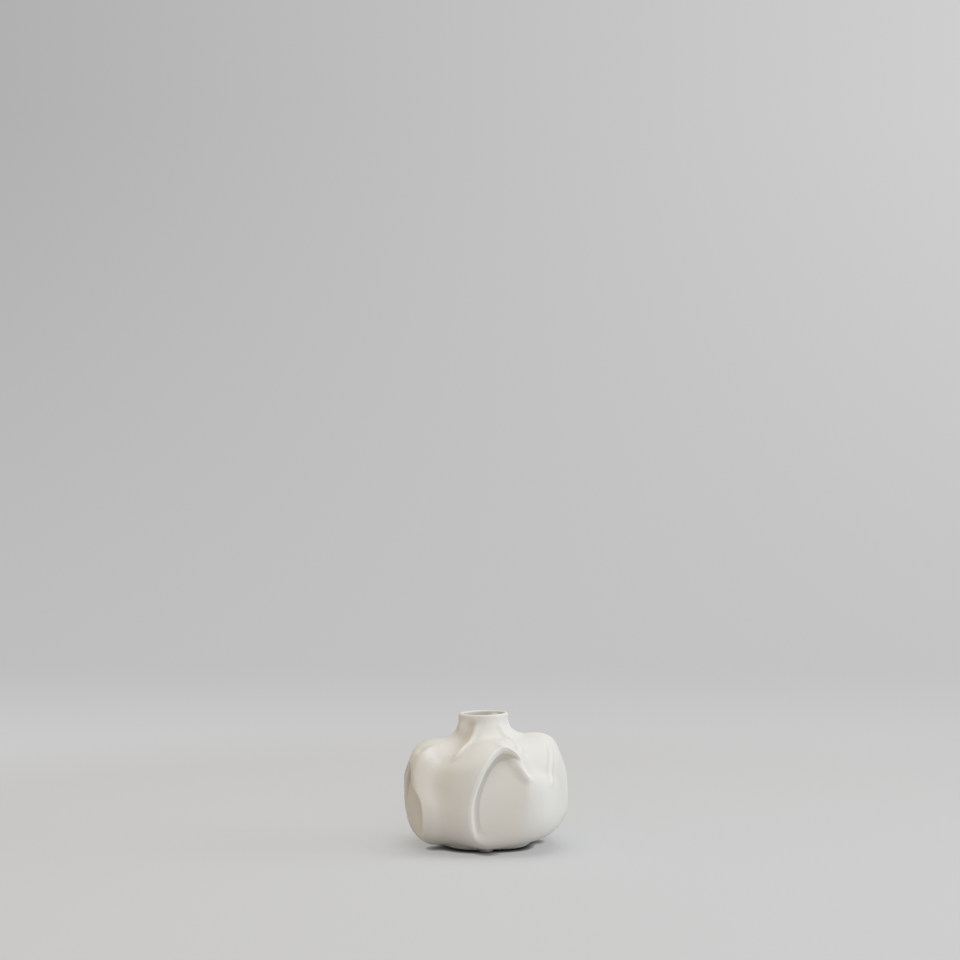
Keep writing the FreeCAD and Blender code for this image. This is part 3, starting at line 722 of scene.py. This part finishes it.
def pad_rows(pads, x, y):
    """Profile turned round the pad's own axis: a thin film against the base, then a round-edged disc with
    a slightly dished foot."""
    radius, height = pads.radius / MM, pads.height / MM
    film, top, edge = 0.25, 0.3, 0.6
    t = np.radians(np.linspace(0.0, 90.0, 6))
    profile = [(radius - 0.5, height), (radius - 0.5, height - film)]
    profile += [(radius - top + top * math.sin(a), height - film - top * (1.0 - math.cos(a))) for a in t]
    profile += [(radius - edge * (1.0 - math.cos(a)), edge * (1.0 - math.sin(a))) for a in t]
    profile += [(radius - edge - 1.2, 0.0), (radius - edge - 1.8, 0.12), (radius - edge - 4.0, 0.18)]
    profile = np.array(profile)
    angle = np.radians(FULL_TURN * np.arange(PAD_COLUMNS) / PAD_COLUMNS)
    rr, zz = profile[:, :1], profile[:, 1:]
    zz = np.repeat(zz, PAD_COLUMNS, axis=1)
    return np.stack([x + rr * np.sin(angle), y - rr * np.cos(angle), zz], axis=-1)[::-1]


class PILLOWVASE_OT_pads(bpy.types.Operator):
    """Sets the four soft pads under the base"""

    bl_idname = "pillow_vase.pads"
    bl_label = "Set the pads"

    def execute(self, context):
        scene = context.scene
        pads = scene.pad_sizes
        material = soft_pad(pads, shared_group("fine_grain", fine_grain_group))
        for k, side in enumerate(("front", "right", "back", "left")):
            turn = math.radians(90.0 * k)
            ring = pads.ring / MM
            x, y = ring * math.sin(turn) - CENTRE_X, -ring * math.cos(turn)
            rows = pad_rows(pads, x, y)
            piece = grid_mesh("soft_pad_" + side, rows, close_start=(x, y, rows[0, 0, 2]),
                              close_end=(x, y, rows[-1, 0, 2]))
            piece.data.materials.append(material)
            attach(piece, "root")
            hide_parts("foot_pad_" + side)
        return {"FINISHED"}


def area_lamp(name, place, aim, size, power, colour):
    """A square soft lamp at a place, turned to face aim."""
    data = bpy.data.lights.new(name, "AREA")
    data.shape = "RECTANGLE"
    data.size, data.size_y = size
    data.energy = power
    data.color = colour
    lamp = bpy.data.objects.new(name, data)
    bpy.context.scene.collection.objects.link(lamp)
    away = np.array(place, float) - np.array(aim, float)
    flat = math.hypot(away[0], away[1])
    lamp.location = place
    lamp.rotation_euler = (math.atan2(flat, away[2]), 0.0, math.atan2(away[0], -away[1]))
    return lamp


class PILLOWVASE_OT_stage(bpy.types.Operator):
    """Lays the paper sweep, hangs the lamps and sets the camera"""

    bl_idname = "pillow_vase.stage"
    bl_label = "Set the stage"

    def execute(self, context):
        scene = context.scene
        studio = scene.studio_look

        # Sweep: level floor, a quarter round, then an upright back
        bend_r, back, half, top = 1500.0, 3200.0, 7000.0, 6000.0
        t = np.radians(np.linspace(0.0, 90.0, 25))
        ys = np.concatenate([[-half], back + bend_r * np.sin(t), [back + bend_r]])
        zs = np.concatenate([[0.0], bend_r * (1.0 - np.cos(t)), [top]])
        xs = np.array([-half, half])
        points = np.stack([np.repeat(xs[None, :], len(ys), 0), np.repeat(ys[:, None], 2, 1),
                           np.repeat(zs[:, None], 2, 1)], axis=-1).reshape(-1, 3)
        j = np.arange(len(ys) - 1) * 2
        faces = np.column_stack([j, j + 1, j + 3, j + 2])
        mesh = bpy.data.meshes.new("paper_sweep")
        mesh.from_pydata((points * MM).tolist(), [], faces.tolist())
        mesh.polygons.foreach_set("use_smooth", np.ones(len(mesh.polygons), dtype=bool))
        sweep = bpy.data.objects.new("paper_sweep", mesh)
        scene.collection.objects.link(sweep)
        sweep.data.materials.append(paper_sweep(studio, shared_group("fine_grain", fine_grain_group)))

        cool = (0.70, 0.84, 1.0)
        area_lamp("key_lamp", (2.8, -0.2, 0.7), (0.0, 0.0, 0.08), (1.5, 1.5), studio.key, cool)
        area_lamp("top_lamp", (0.2, 0.2, 2.6), (0.0, 0.0, 0.0), (2.2, 2.2), studio.top, (0.80, 0.9, 1.0))
        area_lamp("front_lamp", (0.8, -2.9, 1.2), (0.0, 0.0, 0.08), (1.5, 1.5), studio.front, cool)

        world = bpy.data.worlds.new("studio_air")
        scene.world = world
        world.use_nodes = True
        air = world.node_tree
        path = air.nodes.new("ShaderNodeLightPath")
        tone = mixed(air, "MIX", path.outputs["Is Camera Ray"], (1.0, 0.85, 0.64), (1.08, 1.08, 1.08))
        air.links.new(tone, air.nodes["Background"].inputs["Color"])
        air.nodes["Background"].inputs["Strength"].default_value = studio.fill

        camera = bpy.data.cameras.new("photo_camera")
        camera.sensor_width = SENSOR_WIDTH
        camera.lens = SENSOR_WIDTH * FOCAL_PIXELS / PHOTO_PIXELS
        camera.clip_end = 50.0
        eye = bpy.data.objects.new("photo_camera", camera)
        scene.collection.objects.link(eye)
        eye.location = EYE
        eye.rotation_euler = (math.radians(90.0), 0.0, 0.0)
        scene.camera = eye
        scene.view_settings.view_transform = "Standard"
        return {"FINISHED"}


class PILLOWVASE_PT_panel(bpy.types.Panel):
    """Lists the vase's steps and sizes"""

    bl_idname = "PILLOWVASE_PT_panel"
    bl_label = "Pillow Vase"
    bl_space_type = "VIEW_3D"
    bl_region_type = "UI"
    bl_category = "Pillow Vase"

    def draw(self, context):
        layout = self.layout
        for group in ("vase_sizes", "glaze_colours", "pad_sizes", "studio_look"):
            settings = getattr(context.scene, group)
            for name in settings.bl_rna.properties.keys():
                if name not in ("rna_type", "name"):
                    layout.prop(settings, name)
        for step in ("body", "pads", "stage"):
            layout.operator("pillow_vase." + step)


CLASSES = (VaseSizes, GlazeColours, PadSizes, StudioLook, PILLOWVASE_OT_body, PILLOWVASE_OT_pads,
           PILLOWVASE_OT_stage, PILLOWVASE_PT_panel)


def register():
    for cls in CLASSES:
        bpy.utils.register_class(cls)
    bpy.types.Scene.vase_sizes = PointerProperty(type=VaseSizes)
    bpy.types.Scene.glaze_colours = PointerProperty(type=GlazeColours)
    bpy.types.Scene.pad_sizes = PointerProperty(type=PadSizes)
    bpy.types.Scene.studio_look = PointerProperty(type=StudioLook)


def unregister():
    for name in ("vase_sizes", "glaze_colours", "pad_sizes", "studio_look"):
        delattr(bpy.types.Scene, name)
    for cls in reversed(CLASSES):
        bpy.utils.unregister_class(cls)


def main():
    register()
    bpy.ops.pillow_vase.body()
    bpy.ops.pillow_vase.pads()
    bpy.ops.pillow_vase.stage()
    bpy.context.view_layer.update()


if __name__ == "__main__":
    main()
